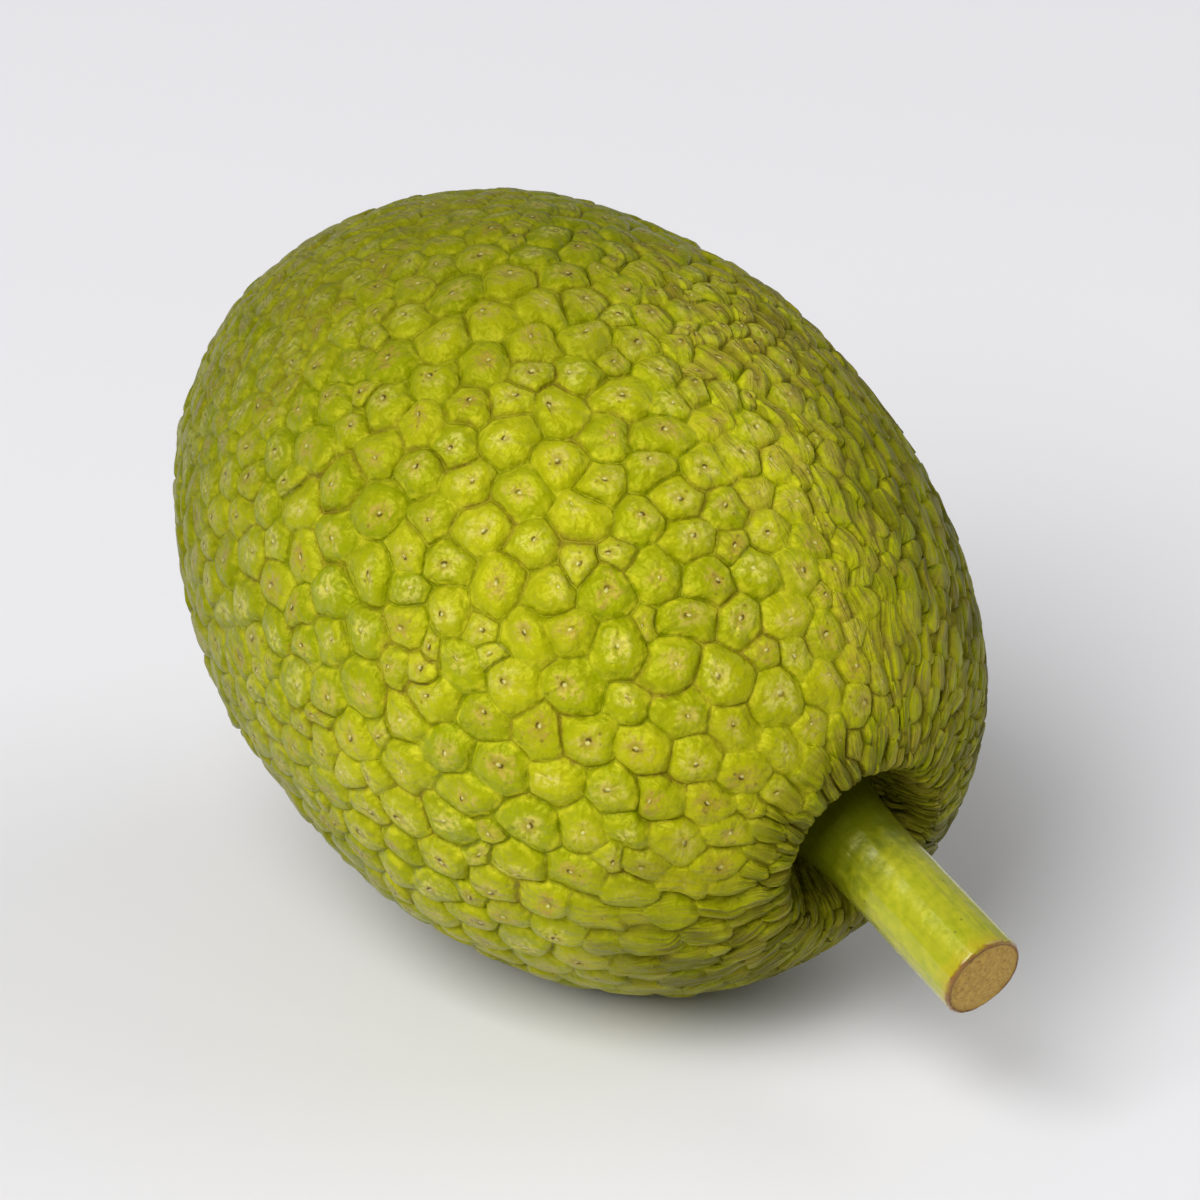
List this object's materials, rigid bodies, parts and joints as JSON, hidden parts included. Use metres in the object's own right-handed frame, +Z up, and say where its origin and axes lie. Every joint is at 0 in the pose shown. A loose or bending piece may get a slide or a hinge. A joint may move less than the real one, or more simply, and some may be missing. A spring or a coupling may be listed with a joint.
{
  "type": "breadfruit",
  "caption": "Picked breadfruit lying on its side on a small flat spot, with a faceted green rind and its cut stalk in the hollow at one end.",
  "frame": {"origin": "middle of the small flat spot that the fruit rests on", "axes": "+Z up, +X from the blossom end towards the stem end, +Y to the left when looking along +X"},
  "size_m": [0.2167, 0.139, 0.1408],
  "materials": {
    "rind": "satin",
    "stalk": "satin"
  },
  "bodies": {
    "root": {"fruit_body": "rind", "stem": "stalk"}
  },
  "joints": []
}
